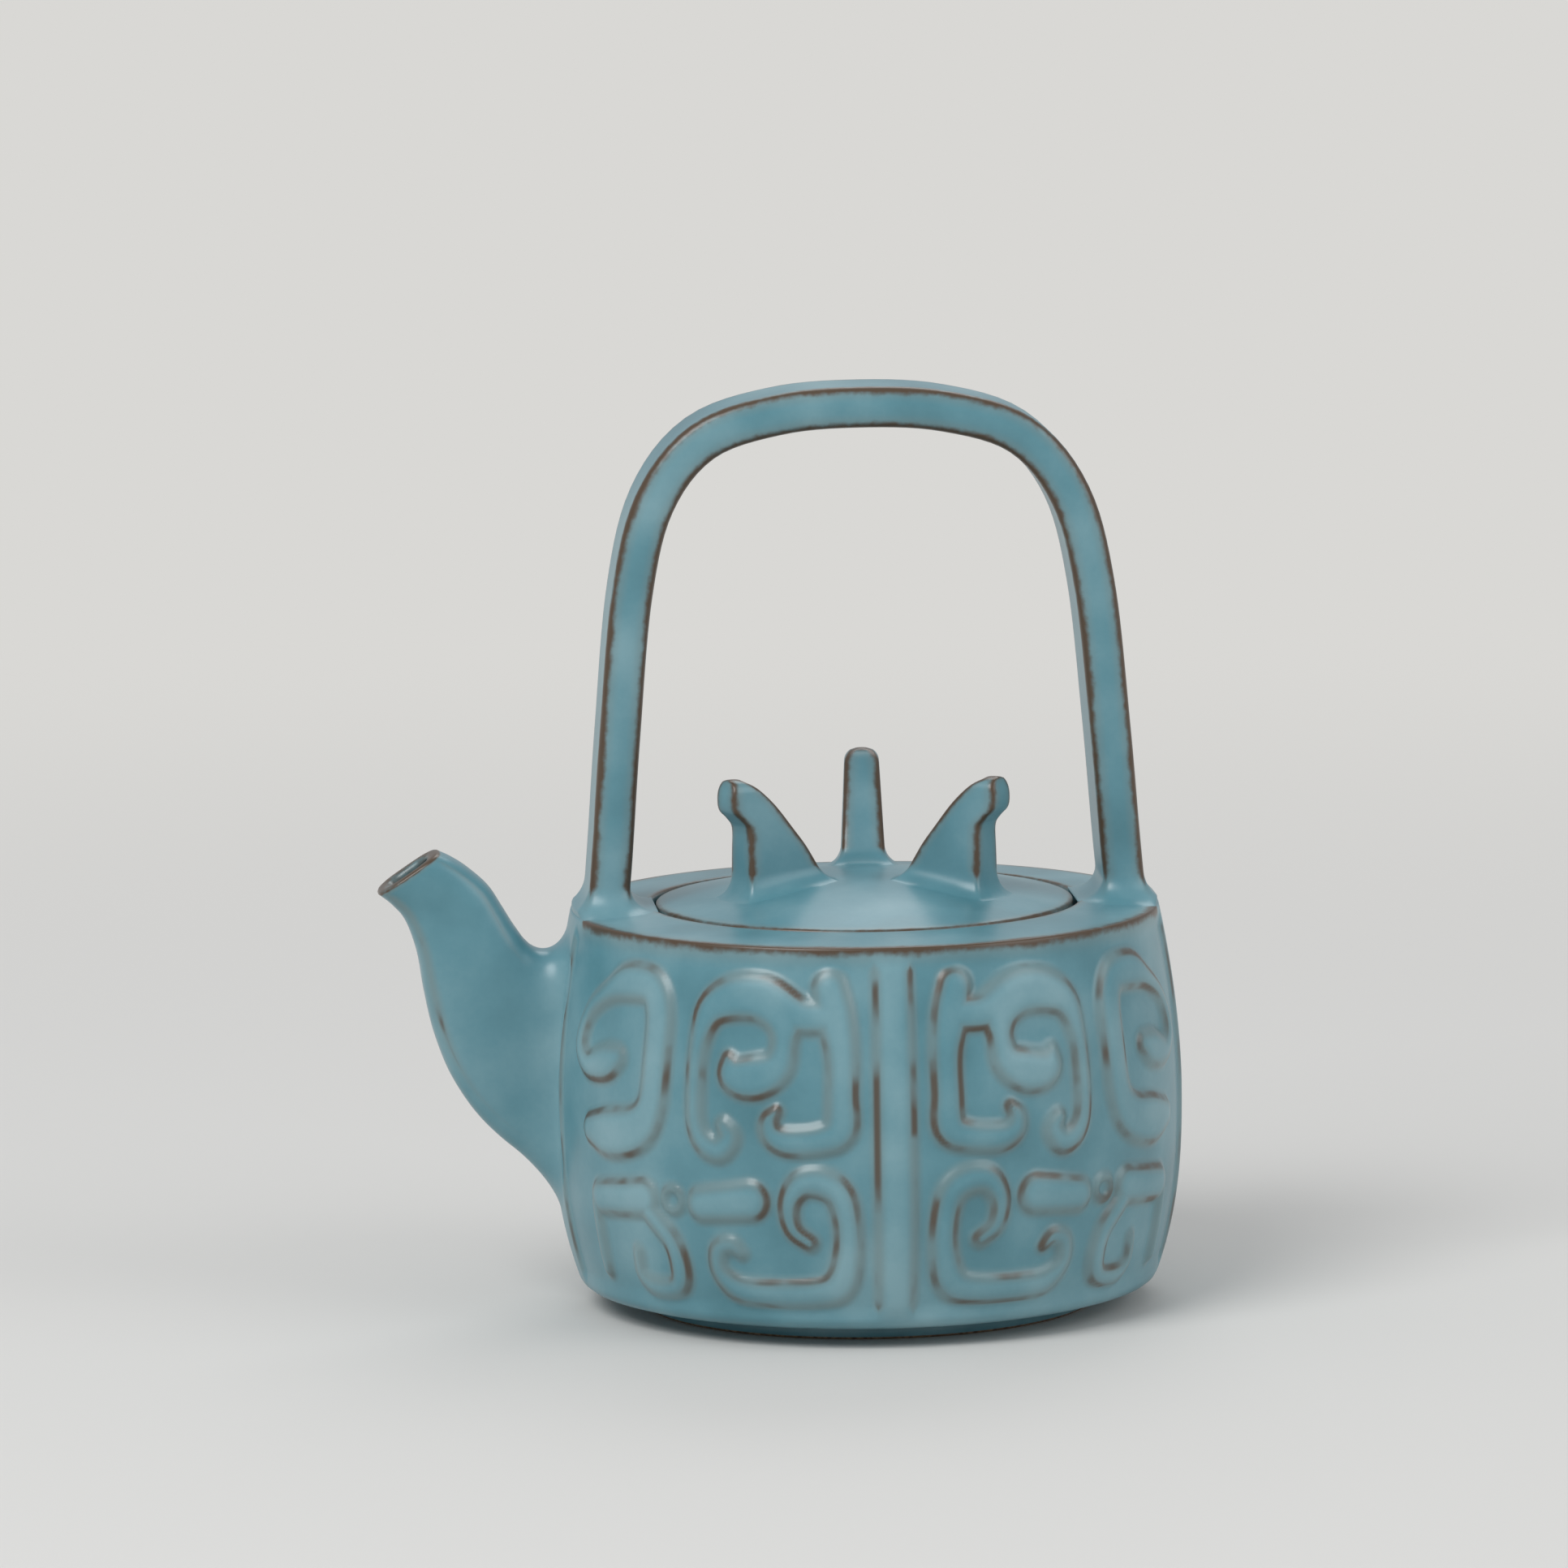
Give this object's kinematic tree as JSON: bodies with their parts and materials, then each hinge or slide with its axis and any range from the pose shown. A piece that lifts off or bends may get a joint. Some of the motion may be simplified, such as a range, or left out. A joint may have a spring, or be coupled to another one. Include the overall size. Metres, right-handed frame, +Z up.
{
  "type": "covered ceramic ewer",
  "caption": "Drum-shaped glazed ewer with an overhead arch handle, a hooked pouring spout, a lift-off lid with upright fins, and a low foot ring.",
  "frame": {"origin": "on the surface it stands on, under the middle of the whole ewer's box", "axes": "+Z up; the spout points to -X; +Y is the back"},
  "size_m": [0.1652, 0.13, 0.19],
  "materials": {
    "glaze": "satin blue-green glaze, breaking brown on sharp edges",
    "bare_clay": "unglazed foot"
  },
  "bodies": {
    "pot": {"body_wall": "glaze", "base_floor": "glaze", "foot_ring": "bare_clay", "shoulder": "glaze", "lid_seat": "glaze", "spout": "glaze", "handle": "glaze"},
    "lid": {"lid_disc": "glaze", "lid_collar": "glaze", "fin_rear": "glaze", "fin_left": "glaze", "fin_right": "glaze"}
  },
  "joints": [
    {"name": "lid_lift", "type": "slide", "parent": "pot", "child": "lid", "axis": [0, 0, 1], "range_m": [0, 0.06]}
  ]
}
